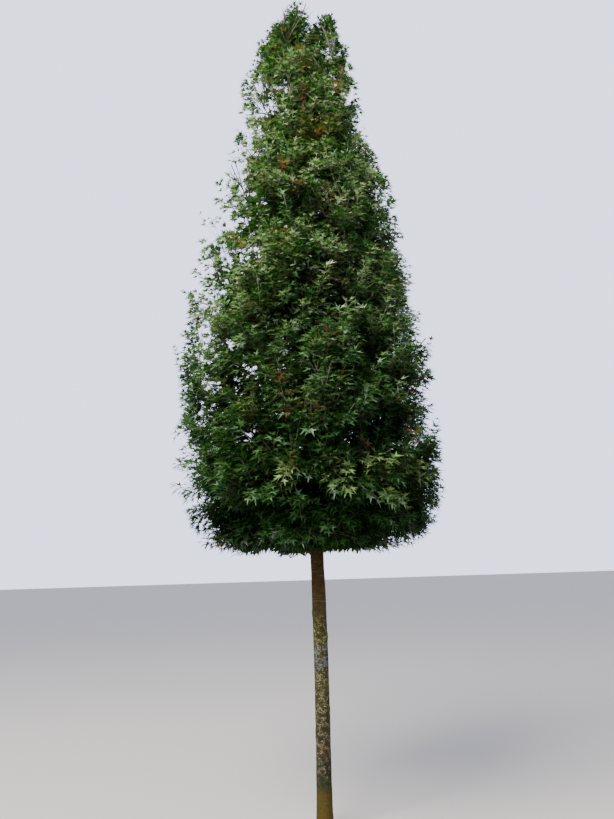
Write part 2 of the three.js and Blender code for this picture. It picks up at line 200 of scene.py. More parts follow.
def put(tree, kind, settings=None, **inputs):
    """Adds a node. Its inputs go by name or by number, and are values or other nodes' outputs."""
    made = tree.nodes.new(kind)
    for key, value in (settings or {}).items():
        setattr(made, key, value)
    for key, value in inputs.items():
        socket = made.inputs[int(key[1:])] if key[0] == "_" else made.inputs[key.replace("_", " ")]
        if isinstance(value, bpy.types.NodeSocket):
            tree.links.new(value, socket)
        else:
            socket.default_value = value
    return made


def maths(tree, operation, *values):
    inputs = {f"_{index}": value for index, value in enumerate(values)}
    return put(tree, "ShaderNodeMath", {"operation": operation}, **inputs).outputs[0]


def clouds(tree, place, scale, detail, roughness=0.5):
    """A cloudy pattern, about 0.5, with so many clouds to a metre."""
    made = put(tree, "ShaderNodeTexNoise", Vector=place, Scale=scale, Detail=detail, Roughness=roughness)
    return made.outputs["Fac"]


def stepped(tree, value, start, end, low=0.0, high=1.0):
    """From low to high as a value goes from start to end."""
    ends = {"From_Min": start, "From_Max": end, "To_Min": low, "To_Max": high}
    return put(tree, "ShaderNodeMapRange", Value=value, **ends).outputs[0]


def drawn_out(tree, place, scale):
    """Places for a pattern with so many of its marks to a metre, along each axis."""
    return put(tree, "ShaderNodeMapping", Vector=place, Scale=scale).outputs[0]


def blend(tree, share, low, high, how="MIX"):
    """One colour over another, by a share."""
    made = put(tree, "ShaderNodeMix", {"data_type": "RGBA", "blend_type": how}, _0=share, _6=low, _7=high)
    return made.outputs[2]


def ramp(tree, value, stops):
    made = put(tree, "ShaderNodeValToRGB", Fac=value)
    band = made.color_ramp
    while len(band.elements) < len(stops):
        band.elements.new(0.5)
    for element, (place, colour) in zip(band.elements, stops):
        element.position = place
        element.color = (*colour, 1.0)
    return made.outputs["Color"]


def coated(tree, surface, colour, rise, strength, distance):
    """Gives a surface its colour, and a relief that is too fine for the mesh."""
    raised = put(tree, "ShaderNodeBump", Strength=strength, Distance=distance, Height=rise)
    tree.links.new(colour, surface.inputs["Base Color"])
    tree.links.new(raised.outputs[0], surface.inputs["Normal"])


# colours of the bark by height, from the ground up: its dark plates, and the paler net between them
PLATES_BY_HEIGHT = (
    (0.00, (0.036, 0.024, 0.004)),
    (0.22, (0.030, 0.021, 0.004)),
    (0.27, (0.011, 0.013, 0.005)),
    (0.40, (0.007, 0.007, 0.004)),
    (0.47, (0.017, 0.009, 0.005)),
    (0.56, (0.008, 0.007, 0.004)),
    (0.82, (0.016, 0.014, 0.005)),
    (1.18, (0.017, 0.015, 0.004)),
    (1.32, (0.024, 0.018, 0.005)),
    (1.46, (0.034, 0.021, 0.006)),
    (1.60, (0.030, 0.017, 0.006)),
    (1.85, (0.022, 0.015, 0.007)),
    (2.40, (0.020, 0.017, 0.010)),
)
NET_BY_HEIGHT = (
    (0.00, (0.054, 0.040, 0.007)),
    (0.22, (0.050, 0.038, 0.008)),
    (0.28, (0.042, 0.042, 0.016)),
    (0.40, (0.200, 0.182, 0.094)),
    (1.00, (0.255, 0.233, 0.110)),
    (1.20, (0.345, 0.315, 0.135)),
    (1.36, (0.086, 0.072, 0.026)),
    (1.60, (0.074, 0.052, 0.022)),
    (2.40, (0.060, 0.050, 0.030)),
)
BARK_SHOWN = 2.4  # height over which the colours run
BARK_WAVER = 0.12  # how uneven the heights are where they change
NET_BEND = (0.020, 0.020, 0.020)  # how far a fine noise bends the net
NET_CELLS = (62.0, 62.0, 94.0)  # to a metre, along each axis
NET_DASHES = (42.0, 42.0, 120.0)
SMOOTH_LINES = (9.0, 9.0, 170.0)
SMOOTH_BARK = (1.26, 1.42)  # heights that it sets in between
MOTTLING = ((0.30, (0.55, 0.55, 0.55)), (0.72, (1.55, 1.50, 1.30)))  # from darker to paler
LEVEL_LINE = (0.140, 0.090, 0.042)
PAINT_BAND = (1.04, 0.12)  # worn blue marks: height and half width
PAINT = (0.045, 0.066, 0.115)


def bark_material(name):
    material, tree, surface = shader(name, roughness=0.86, specular=0.08)
    place = put(tree, "ShaderNodeTexCoord").outputs["Object"]
    height = put(tree, "ShaderNodeSeparateXYZ", Vector=place).outputs["Z"]
    wavered = maths(tree, "MULTIPLY_ADD", clouds(tree, place, scale=14.0, detail=3.0), BARK_WAVER, height)
    level = maths(tree, "MULTIPLY_ADD", wavered, 1 / BARK_SHOWN, -BARK_WAVER / 2 / BARK_SHOWN)
    plates = ramp(tree, level, [(z / BARK_SHOWN, colour) for z, colour in PLATES_BY_HEIGHT])
    net_colour = ramp(tree, level, [(z / BARK_SHOWN, colour) for z, colour in NET_BY_HEIGHT])

    # the net: edges of small cells, wider than high, and short level dashes, both bent
    bending = put(tree, "ShaderNodeTexNoise", Vector=place, Scale=55.0, Detail=2.0).outputs["Color"]
    bend = {"_0": bending, "_1": NET_BEND, "_2": place}
    bent = put(tree, "ShaderNodeVectorMath", {"operation": "MULTIPLY_ADD"}, **bend).outputs[0]
    drawn = drawn_out(tree, bent, NET_CELLS)
    cells = put(tree, "ShaderNodeTexVoronoi", {"feature": "DISTANCE_TO_EDGE"}, Vector=drawn, Scale=1.0)
    net = stepped(tree, cells.outputs["Distance"], 0.02, 0.15, 0.80, 0.0)
    laid = drawn_out(tree, bent, NET_DASHES)
    dashes = stepped(tree, clouds(tree, laid, scale=1.0, detail=2.0), 0.575, 0.635)
    marks = maths(tree, "MAXIMUM", net, dashes)

    # it is worn off in patches, and flakes off
    patches = clouds(tree, place, scale=38.0, detail=4.0, roughness=0.65)
    worn = stepped(tree, patches, 0.45, 0.55, low=0.08)
    flaked = stepped(tree, clouds(tree, laid, scale=5.0, detail=3.0, roughness=0.6), 0.42, 0.58, low=0.08)
    net_share = maths(tree, "MULTIPLY", marks, maths(tree, "MULTIPLY", worn, flaked))
    mottle = clouds(tree, place, scale=120.0, detail=5.0, roughness=0.7)
    shaded = blend(tree, 1.0, plates, ramp(tree, mottle, MOTTLING), "MULTIPLY")
    barked = blend(tree, net_share, shaded, net_colour)

    # fine level lines, where the young bark of the upper stem is still smooth
    ringed = drawn_out(tree, bent, SMOOTH_LINES)
    lines = stepped(tree, clouds(tree, ringed, scale=1.0, detail=2.0), 0.56, 0.66)
    upper = stepped(tree, height, *SMOOTH_BARK, high=0.5)
    lined = blend(tree, maths(tree, "MULTIPLY", lines, upper), barked, (*LEVEL_LINE, 1.0))

    # worn paint marks in one band
    band_height, half_width = PAINT_BAND
    off_band = maths(tree, "ABSOLUTE", maths(tree, "SUBTRACT", height, band_height))
    in_band = stepped(tree, off_band, 0.2 * half_width, half_width, 1.0, 0.0)
    chips = stepped(tree, patches, 0.50, 0.60, high=0.62)
    coloured = blend(tree, maths(tree, "MULTIPLY", in_band, chips), lined, (*PAINT, 1.0))
    rise = maths(tree, "MULTIPLY_ADD", mottle, 0.8, net_share)
    coated(tree, surface, coloured, rise, strength=0.7, distance=0.0016)
    return material


trunk.data.materials.append(bark_material("cracked bark"))
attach(trunk, "root")
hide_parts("trunk")

# Boughs.
# Twenty-one limbs of smooth grey-brown wood leave the stem by golden-angle turns, level low down and steep
# at the top. Each tapers in one run to the crown's outline. The leading shoot goes on up the trunk.
TREE_HEIGHT = 6.13
CROWN_FOOT = 1.7
CROWN_RADIUS = 0.88
OUTLINE = (1.18, 0.12, 0.56)  # fullness, then how high its rounded underside is and how far that reaches
WAIST = (0.13, 4.85, 0.35)  # where it draws in below its top: by how much, at what height, over what length
OPEN_SIDE = (0.05, math.radians(200))  # fuller on one side
BOUGHS = 21
LEADER = BOUGHS
FOOT_HEIGHTS = (1.85, 5.34)
FOOT_CROWDING = 1.3
TURN_SPREAD = 0.22  # either way of its golden-angle turn
CLIMB_AT_FOOT = (math.radians(14), math.radians(58))
CLIMB_AT_TIP = (math.radians(42), math.radians(74))
VIGOUR = (0.93, 1.07)
SWING = 0.2  # sideways along its path, either way
SETTLING = (30, 0.3)  # rounds that bring its tip to the outline, and how far it moves in each
BARE_SHARE = 0.36
BOUGH_RADIUS = (0.015, 0.006)
BOUGH_THINNING = 0.8  # the power that it thins by
COLLAR = (0.35, 0.05)  # how much thicker it is at its foot, and over what share of its path
TIP_RADIUS = 0.0036
LEADER_SWAY = (0, 0.003, 0.016, 0.021, 0.013)
GOLDEN_ANGLE = math.radians(137.508)
BOUGH_SIDES = 10
BOUGH_RINGS = 48
STEEP = 0.8  # rise of a limb's heading from which its rings are laid out level
BOUGH_BARK = (0.6, 0.35)  # how long its plates are and how deep its relief is, next to the trunk's

SEED = 0.37
SCRAMBLE = (12.9898, 78.233, 3.7, 43758.5453)
# each kind of choice has a key of its own
TURN_CHOICE, VIGOUR_CHOICE, SWING_CHOICE, LUMP_CHOICE, TWIG_TURN_CHOICE, TWIG_VIGOUR_CHOICE = range(1, 7)
FINE_LIFT_CHOICE = 16


def chance(*keys):
    """A seeded choice from 0 to 1 that any limb or twig can make again on its own."""
    value_pace, key_pace, start, spread = SCRAMBLE
    value = SEED
    for key in keys:
        wave = math.sin(value * value_pace + key * key_pace + start) * spread
        value = wave - math.floor(wave)
    return value


def height_share(z):
    return (z - CROWN_FOOT) / (TREE_HEIGHT - CROWN_FOOT)


def crown_reach(z, around):
    """How far foliage reaches from the stem's line."""
    fullness, foot_share, foot_reach = OUTLINE
    rise = height_share(np.asarray(z, float))
    cone = np.minimum(1, fullness * np.sqrt(np.clip(1 - rise, 0, 1)))
    low = np.clip(rise / foot_share, 0, 1)
    foot = between(foot_reach, 1, np.sqrt(low * (2 - low)))
    side = 1 + OPEN_SIDE[0] * np.cos(around - OPEN_SIDE[1])
    waist = 1 - WAIST[0] * np.exp(-(((z - WAIST[1]) / WAIST[2]) ** 2))
    return np.where((rise > 0) & (rise < 1), CROWN_RADIUS * cone * foot * side * waist, 0)


def grown_limb(k):
    """A limb's foot, heading, swing and slopes, and how far out it reaches."""
    share = k / (BOUGHS - 1)
    foot = between(*FOOT_HEIGHTS, share**FOOT_CROWDING)
    around = k * GOLDEN_ANGLE + between(-TURN_SPREAD, TURN_SPREAD, chance(k, TURN_CHOICE))
    vigour = between(*VIGOUR, chance(k, VIGOUR_CHOICE))
    slopes = [math.tan(between(*CLIMB_AT_FOOT, share)), math.tan(between(*CLIMB_AT_TIP, share))]
    swing = between(-SWING, SWING, chance(k, SWING_CHOICE))
    reach = float(crown_reach(foot, around))
    rounds, pace = SETTLING
    for _ in range(rounds):
        tip_height = foot + reach * sum(slopes) / 2
        reach = between(reach, float(crown_reach(tip_height, around)) * vigour, pace)
    return foot, around, swing, slopes, reach


limbs = [grown_limb(k) for k in range(BOUGHS)]


def limb_points(k, s):
    """Points on a limb, at shares s of its path."""
    s = np.asarray(s, float)
    if k == LEADER:
        sway = np.interp(s, np.linspace(0, 1, len(LEADER_SWAY)), LEADER_SWAY)
        lean = np.stack([-sway, sway / 2, s * (TREE_HEIGHT - STEM_TOP)], -1)
        return stem_centre(STEM_TOP) + lean
    foot, around, swing, (slope_start, slope_end), reach = limbs[k]
    angle = around + swing * s * s
    climb = reach * (slope_start * s + (slope_end - slope_start) * s * s / 2)
    return stem_centre(foot) + round_axis(angle, reach * s, climb)


def limb_radius(k, s):
    if k == LEADER:
        return between(stem_radius(STEM_TOP), TIP_RADIUS, s)
    foot = between(*BOUGH_RADIUS, k / (BOUGHS - 1))
    collar, collar_length = COLLAR
    return between(foot, TIP_RADIUS, s**BOUGH_THINNING) + collar * foot * np.exp(-s / collar_length)


def tubes(centres, radii, sides):
    """Closed round tubes along many lines. centres is (tubes, rings, 3) and radii is (tubes, rings)."""
    along = unit(np.gradient(centres, axis=1))
    steep = np.abs(along[:, :1, 2:3]) > STEEP
    off_axis = np.where(steep, [1.0, 0.0, 0.0], [0.0, 0.0, 1.0])
    side = unit(np.cross(np.broadcast_to(off_axis, along.shape), along))
    other = np.cross(along, side)
    turn = 2 * np.pi * np.arange(sides) / sides
    across = side[:, :, None] * np.cos(turn)[:, None] + other[:, :, None] * np.sin(turn)[:, None]
    points = centres[:, :, None] + radii[..., None, None] * across
    return points.reshape(-1, 3), tube_faces(*radii.shape, sides)


every = range(BOUGHS + 1)
path = np.linspace(0, 1, BOUGH_RINGS)
bough_centres = np.stack([limb_points(k, path) for k in every])
bough_radii = np.stack([limb_radius(k, path) for k in every])
bough_points, bough_faces = tubes(bough_centres, bough_radii, BOUGH_SIDES)
around_limb = bough_points.reshape(len(every), BOUGH_RINGS, BOUGH_SIDES, 3) - bough_centres[:, :, None]
bough_relief = bark_relief(bough_points, BOUGH_BARK[0]).reshape(around_limb.shape[:3]) * BOUGH_BARK[1]
bough_points = bough_points + (unit(around_limb) * bough_relief[..., None]).reshape(-1, 3)
boughs = made_of("boughs", bough_points, bough_faces)
smooth(boughs)


def young_bark(name, deep, pale):
    material, tree, surface = shader(name, roughness=0.72, specular=0.35)
    place = put(tree, "ShaderNodeTexCoord").outputs["Object"]
    flecks = clouds(tree, place, scale=90.0, detail=4.0, roughness=0.7)
    coloured = ramp(tree, flecks, [(0.35, deep), (0.62, pale)])
    coated(tree, surface, coloured, flecks, strength=0.5, distance=0.0008)
    return material


boughs.data.materials.append(young_bark("smooth bough bark", (0.022, 0.018, 0.011), (0.052, 0.045, 0.030)))
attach(boughs, "root")
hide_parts(*[f"bough_{k + 1:02d}" for k in range(BOUGHS)])

# Twigs.
# Thin woody twigs leave each limb by golden-angle turns, within its own space: seven main ones, three finer
# ones between each two, and more in towards the trunk. One more leads up into each tuft of the crown's top.
SPREAD = (0.56, 0.40)  # how far foliage stands from its limb, low down and at the top
LUMP_REACH = (0.97, 1.06)  # how far one limb's foliage goes, as a share of the crown's reach
LIMB_SAMPLES = 12
COMMON_SHARE = 0.25  # of a limb, near the trunk
OWN_FROM = round(LIMB_SAMPLES * COMMON_SHARE)
SPACE_GAP = 0.005
MAIN_TWIGS = 7
TWIG_NUMBERS = np.arange(-4, MAIN_TWIGS, 0.25)  # whole ones from 0 for the main twigs
TWIG_RUN = (0.03, 0.96, 0.97)  # from so far past where the limb's leafy part starts, to here, and the last
HEADING_STEP = 0.01  # share of a limb that its heading is measured over, either way
PLUMB = 0.05  # how far off upright a heading is taken as upright
TWIG_ANGLE = (math.radians(66), math.radians(36))
TWIG_LIFT = 0.22
FINE_LIFT = (-0.45, 0.35)
TWIG_VIGOUR = (0.72, 0.95)
TWIG_ROOM = 0.95  # share of the limb's space that they may use
TWIG_SAG = (-0.05, 0.09)
TWIG_RADIUS = (0.0042, 0.0017)
TWIG_STEP = 0.015
TWIG_RINGS = 5
TWIG_SIDES = 4
SHORTEST_TWIG = 0.05
TUFTS = (  # the upright tufts that the crown's top parts into: tip and radius
    (-0.02, 0.02, 6.12, 0.16),
    (0.23, -0.06, 5.99, 0.09),
    (0.11, 0.03, 5.93, 0.08),
    (-0.20, 0.00, 5.96, 0.07),
    (-0.15, -0.12, 5.87, 0.10),
    (-0.27, -0.04, 5.76, 0.12),
    (0.06, 0.20, 5.86, 0.15),
    (-0.12, 0.17, 5.80, 0.15),
    (0.32, 0.00, 5.73, 0.11),
)
LEADING_THINNESS = 0.6
LEADING_BELOW = 0.03  # how far under its tuft's tip a leading twig ends
LEADING_FEET = (0.3, 1, 15)  # where on the limbs it may start: from, to, and how many places
LEAST_CLIMB = 0.12
TOO_FLAT = 9  # cost of climbing less
BEND_COST = 1.2  # a way costs its length times this, less the cosine of its bend
UP = np.array([0.0, 0.0, 1.0])

limb_samples = [limb_points(k, np.linspace(0, 1, LIMB_SAMPLES + 1)) for k in every]


def distance_to_limb(points, k):
    """How far points are from a limb, but for the stretch near the trunk, which is common ground."""
    first = 0 if k == LEADER else OWN_FROM
    starts = limb_samples[k][first:-1]
    spans = limb_samples[k][first + 1 :] - starts
    to_points = points[:, None] - starts
    share = np.clip((to_points * spans).sum(-1) / (spans**2).sum(-1), 0, 1)
    return np.linalg.norm(to_points - share[..., None] * spans, axis=-1).min(1)


def from_stem(points):
    """Level distance from the stem's line, and the way it points."""
    level = (points - stem_centre(points[..., 2])) * [1, 1, 0]
    return np.linalg.norm(level, axis=-1), unit(level)


def reach_share(points):
    """How far out points are, as a share of the crown's reach there."""
    out, way = from_stem(points)
    return out / np.maximum(crown_reach(points[..., 2], np.arctan2(way[..., 1], way[..., 0])), 1e-6)


def in_space(points, k, share, overlap=-SPACE_GAP):
    """Inside the crown's outline, and further from their own limb than from others by overlap at most."""
    lump = between(*LUMP_REACH, chance(k, LUMP_CHOICE)) * share
    own = distance_to_limb(points, k)
    inside = (reach_share(points) < lump) & (own <= between(*SPREAD, height_share(points[:, 2])) * share)
    for other in every:
        if other != k:
            inside &= distance_to_limb(points, other) > own - overlap
    return inside


def opened(along, side, turn, opening):
    """Headings that open by an angle from along, towards a side that is turned about it."""
    side = side * np.cos(turn) + np.cross(along, side) * np.sin(turn)
    return along * np.cos(opening) + side * np.sin(opening)


def grown_twigs(k):
    """The feet, directions and lengths of a limb's twigs."""
    numbers = TWIG_NUMBERS[TWIG_NUMBERS >= 0] if k == LEADER else TWIG_NUMBERS
    share = (numbers + 0.5) / MAIN_TWIGS
    past_start, end, last = TWIG_RUN
    s = np.minimum(between((0 if k == LEADER else BARE_SHARE) + past_start, end, share), last)
    feet = limb_points(k, s)
    along = unit(limb_points(k, s + HEADING_STEP) - limb_points(k, s - HEADING_STEP))
    side = np.cross(along, UP)
    upright = np.linalg.norm(side, axis=-1, keepdims=True) < PLUMB
    side = unit(np.where(upright, [1.0, 0.0, 0.0], side))
    turn = (numbers * GOLDEN_ANGLE + 2 * np.pi * chance(k, TWIG_TURN_CHOICE))[:, None]
    opening = between(*TWIG_ANGLE, np.minimum(share, 1))[:, None]
    fine_lift = np.array([between(*FINE_LIFT, chance(k, j, FINE_LIFT_CHOICE)) for j in numbers])
    lift = np.where(numbers == np.round(numbers), TWIG_LIFT, fine_lift)[:, None]
    ways = unit(opened(along, side, turn, opening) + UP * lift)
    vigour = np.array([between(*TWIG_VIGOUR, chance(k, j, TWIG_VIGOUR_CHOICE)) for j in numbers])
    longest = between(*SPREAD, height_share(feet[:, 2])) * vigour
    steps = np.arange(1, round(SPREAD[0] / TWIG_STEP) + 1) * TWIG_STEP
    probes = feet[:, None] + ways[:, None] * steps[:, None]
    free = in_space(probes.reshape(-1, 3), k, TWIG_ROOM).reshape(probes.shape[:2])
    lengths = np.cumprod(free & (steps < longest[:, None]), axis=1).sum(1) * TWIG_STEP
    kept = lengths > SHORTEST_TWIG
    return feet[kept], ways[kept], lengths[kept]


rng = np.random.default_rng(37)
twig_path = np.linspace(0, 1, TWIG_RINGS)[:, None]
twig_lines, twig_limbs = [], []
for k in every:
    feet, ways, lengths = grown_twigs(k)
    sag = rng.uniform(*TWIG_SAG, len(feet))[:, None, None] * lengths[:, None, None]
    swerve = unit(rng.normal(size=(len(feet), 1, 3))) * sag
    straight = feet[:, None] + ways[:, None] * lengths[:, None, None] * twig_path
    twig_lines.append(straight + swerve * twig_path * (1 - twig_path) * 2)
    twig_limbs.append(np.full(len(feet), k))
# a leading twig starts on the limb near below its tuft that needs the least bend
limb_runs = np.stack([limb_points(k, np.linspace(*LEADING_FEET)) for k in every])
for x, y, z, _ in TUFTS:
    spans = np.array([x, y, z - LEADING_BELOW]) - limb_runs
    run = np.linalg.norm(spans, axis=-1)
    cost = run * (BEND_COST - spans[..., 2] / run) + np.where(spans[..., 2] < LEAST_CLIMB, TOO_FLAT, 0)
    k, i = np.unravel_index(cost.argmin(), cost.shape)
    twig_lines.append((limb_runs[k, i] + spans[k, i] * twig_path)[None])
    twig_limbs.append(np.array([k]))
twig_lines, twig_limbs = np.concatenate(twig_lines), np.concatenate(twig_limbs)
twig_radii = np.tile(between(*TWIG_RADIUS, twig_path[:, 0]), (len(twig_lines), 1))
twig_radii[-len(TUFTS) :] *= LEADING_THINNESS
twigs = made_of("twigs", *tubes(twig_lines, twig_radii, TWIG_SIDES))
twigs.data.materials.append(young_bark("twig bark", (0.019, 0.015, 0.008), (0.048, 0.041, 0.026)))
masses = [f"foliage_{k + 1:02d}" for k in range(BOUGHS)] + ["foliage_leader"]
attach(twigs, "root")
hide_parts(*masses)

# Shoots.
# This year's shoots and short spurs, in paler bark, which carry the leaves. They turn up from every twig.
# Longer ones grow from the nearest wood to the crown's surface, and at the crown's foot they arch over.
SHOOT_STEP = 0.045  # between one shoot's foot and the next
FIRST_SHOOT = 0.12  # share of a twig
LIMB_SHOOTS = (0.22, 0.98, 20)  # where a limb has them itself: from, to, and in how many places
LIMB_STRETCH = 4  # places that are planted as one twig is
NEARLY_UP = UP + 0.01  # not quite, so that an upright twig has a side too
SPUR_SHARE = 0.38  # of the shoots that stay short
SPURS_UP_TO = 0.95  # share of a twig
SPUR_LENGTH = (0.012, 0.035)
SHOOT_LENGTH = ((0.10, 0.20), (0.06, 0.14))  # shortest and longest, low down and at the top
SHORTNESS = 1.5  # power that makes short ones commoner
SHORTENED = (1.0, 0.75, 0.5, 0.3)  # what a shoot is cut back to, until it fits
SHOOT_OPENING = (math.radians(62), math.radians(34))
END_OPENING = 0.1  # of the shoot that goes on from a twig's tip
SHOOT_LIFT = (-0.25, 0.62)  # at the crown's foot, and from a little way above it
LIFT_FROM = 0.16  # as a share of the crown's height
SHOOT_PULL = 0.28  # outwards
SHOOT_ROOM = 0.98  # share of the limb's space that they may use
OVERLAP = 0.07  # how far a shoot may stand into the next limb's space
SHOOT_CURL = (0.16, 1.2)  # how far it curls, as a share of its length, and how much rather upwards
SHOOT_RADIUS = (0.0019, 0.0010)
STRAIGHT_UNDER = 0.16  # length up to which one has no bend

SURFACE_SHOOTS = 11600  # tips that are tried for
SURFACE_DEPTH = 0.66  # share of the crown's reach where they start
LUMPS = (0.26, 2.3)  # how uneven their outline is in large lumps, and how many of those to a metre
BUMPS = (0.20, 7.0)  # and in small ones
SPRIGS = (0.07, 1.09)  # share of them that stand out beyond it, and how far
RAGGED = (0.90, 1.5)  # where the uneven outline lies on average, and how strongly it shows
BOX_MARGIN = 0.03  # that tips may stand proud of the solids' box
HIGHEST_TIP = TREE_HEIGHT - 0.03
OUTWARDNESS = 0.7  # power that makes tips commoner outwards
TOP_CROWDING = 0.5  # more of them at the top
UPRIGHT = (0.18, 0.18, 0.36)  # share that grow straight up, and their lengths
UNDERSIDE_SHOOTS = 2300
UNDERSIDE = (1.74, 2.30)
UNDERSIDE_BARE = 0.03  # share of it, round the stem
HANGING = (0.05, 0.9)  # how far above the underside's foot it hangs, and how unevenly
REACHED = (0.05, 0.32)  # shortest and longest surface shoot
NEAR_WOOD = 14  # feet that each is tried from
SURFACE_LIFT = (-0.5, 0.7)  # at the crown's foot, and from a little way above it
ARCH = (0.35, -0.22, 0.10)  # at the crown's foot, a little way above it, and how unevenly
TUFT_DEPTH = 0.46  # how far under a tuft's tip its radius is reached
TUFTS_FROM = 5.45
TUFT_SHOOTS = 700
LEAST_BELOW = 0.02  # that a shoot's tip is below its tuft's
NO_INSIDE_FROM = TUFTS_FROM - 0.1  # height above which tips stand at any depth


def in_tufts(points):
    """Below the height where the top parts, or inside one of its tufts."""
    inside = points[:, 2] < TUFTS_FROM
    for x, y, z, radius in TUFTS:
        width = radius * np.sqrt(np.clip((z - points[:, 2]) / TUFT_DEPTH, 0, 1))
        inside |= np.hypot(points[:, 0] - x, points[:, 1] - y) < width
    return inside


def in_box(points):
    """Inside the solids' box, but for what tips may stand proud of it."""
    low, high = (np.array(corner) for corner in cad_box)
    return ((points > low - BOX_MARGIN) & (points < high + BOX_MARGIN)).all(-1)


# where lines of sight that the sky shows through cross the stem's plane: x, z, how wide, and how open
EYE = np.array([0.0, -5.07, 1.57])
SKY_GAPS = (
    (0.26, 5.63, 0.10, 0.60),
    (0.27, 5.43, 0.08, 0.60),
    (0.41, 5.50, 0.08, 0.80),
    (0.39, 5.26, 0.09, 0.80),
    (0.43, 5.01, 0.08, 0.60),
    (-0.36, 5.62, 0.07, 0.60),
    (-0.31, 5.36, 0.11, 0.80),
    (-0.15, 5.38, 0.09, 0.75),
    (-0.26, 5.18, 0.13, 0.85),
    (-0.43, 5.15, 0.08, 0.70),
    (-0.44, 4.99, 0.09, 0.80),
    (-0.32, 4.97, 0.07, 0.60),
    (-0.42, 4.82, 0.14, 0.80),
    (-0.52, 4.63, 0.15, 0.85),
    (-0.44, 4.46, 0.12, 0.70),
    (-0.58, 4.42, 0.11, 0.80),
    (-0.32, 4.37, 0.08, 0.60),
    (-0.46, 4.16, 0.13, 0.75),
    (-0.60, 4.21, 0.14, 0.90),
    (-0.70, 4.10, 0.12, 0.90),
    (-0.41, 3.96, 0.12, 0.65),
    (-0.59, 3.92, 0.12, 0.75),
    (-0.72, 3.84, 0.09, 0.75),
    (-0.58, 3.68, 0.09, 0.60),
    (-0.74, 3.57, 0.10, 0.60),
    (-0.74, 3.31, 0.11, 0.60),
    (-0.73, 3.12, 0.10, 0.60),
    (-0.72, 2.95, 0.11, 0.58),
    (-0.72, 2.76, 0.09, 0.60),
    (-0.56, 3.23, 0.09, 0.60),
    (-0.43, 3.05, 0.09, 0.60),
    (-0.17, 3.22, 0.07, 0.60),
    (-0.19, 3.07, 0.06, 0.60),
    (-0.45, 2.57, 0.09, 0.65),
)
LEFT_IN_GAPS = 0.3  # of the shoots there, bare of leaves
SPECKS = (24.0, 0.8)  # specks per metre that their edges break up into, and how strongly
OPEN_FROM = 0.5  # openness


def open_to_sky(points):
    """Which points lie on a line of sight that the sky shows through."""
    level = points + (points - EYE) * (-points[:, 1:2] / (points[:, 1:2] - EYE[1]))
    openness = np.zeros(len(points))
    for x, z, width, share in SKY_GAPS:
        off = np.hypot(level[:, 0] - x, level[:, 2] - z) / width
        openness = np.maximum(openness, share * np.exp(-(off**2)))
    speck = np.array([noise.noise((x * SPECKS[0], 0, z * SPECKS[0])) for x, _, z in level])
    return openness + speck * SPECKS[1] > OPEN_FROM


def size_from(sizes, share, luck):
    """Between least and most. They are given as two pairs, for low down and for higher up."""
    least, most = (between(low_down, at_top, share) for low_down, at_top in zip(*sizes))
    return between(least, most, luck)


def above_foot(z):
    """From 0 at the crown's foot to 1 where shoots lift fully."""
    return np.clip(height_share(z) / LIFT_FROM, 0, 1)


# shoots all along the twigs and the outer parts of the limbs
start, end, places = LIMB_SHOOTS
outer_limbs = [limb_points(k, np.linspace(0 if k == LEADER else start, end, places)) for k in every]
stretches = range(0, places - LIMB_STRETCH, LIMB_STRETCH)
carriers = list(zip(twig_limbs, twig_lines))
carriers += [(k, outer_limbs[k][i : i + LIMB_STRETCH + 1]) for k in every for i in stretches]
sprouts = []
for k, line in carriers:
    run = np.linalg.norm(line[-1] - line[0])
    count = max(2, round(run / SHOOT_STEP))
    at = np.linspace(FIRST_SHOOT, 1.0, count)
    feet = np.stack([np.interp(at, np.linspace(0, 1, len(line)), line[:, i]) for i in range(3)], -1)
    along = np.broadcast_to(unit(line[-1] - line[0]), feet.shape)
    side = unit(np.cross(along, NEARLY_UP))
    turn = (np.arange(count) * GOLDEN_ANGLE + rng.uniform(0, 2 * np.pi))[:, None]
    opening = between(*SHOOT_OPENING, at)[:, None]
    opening[-1] = END_OPENING
    _, outwards = from_stem(feet)
    lift = between(*SHOOT_LIFT, above_foot(feet[:, 2]))[:, None]
    ways = unit(opened(along, side, turn, opening) + UP * lift + outwards * SHOOT_PULL)
    sprouts.append((feet, ways, np.full(count, k), at))
feet, ways, owners, along = (np.concatenate(parts) for parts in zip(*sprouts))
rise = np.clip(height_share(feet[:, 2]), 0, 1)
wanted = size_from(SHOOT_LENGTH, rise, rng.random(len(rise)) ** SHORTNESS)
spur = (rng.random(len(rise)) < SPUR_SHARE) & (along < SPURS_UP_TO)
wanted = np.where(spur, rng.uniform(*SPUR_LENGTH, len(rise)), wanted)
lengths = np.zeros(len(rise))
for part in SHORTENED:
    ends = feet + ways * (wanted * part)[:, None]
    for k in every:
        waiting = np.flatnonzero((owners == k) & (lengths == 0))
        fits = in_space(ends[waiting], k, SHOOT_ROOM, OVERLAP)
        lengths[waiting[fits]] = (wanted * part)[waiting[fits]]
grown = (lengths > 0) & in_tufts(feet + ways * lengths[:, None])
curl_size, curl_lift = SHOOT_CURL
curl = (unit(rng.normal(size=(len(feet), 3)) + UP * curl_lift) * curl_size * lengths[:, None])[grown]
twig_shoots = (feet[grown], (ways * lengths[:, None])[grown] + curl, -curl, spur[grown])

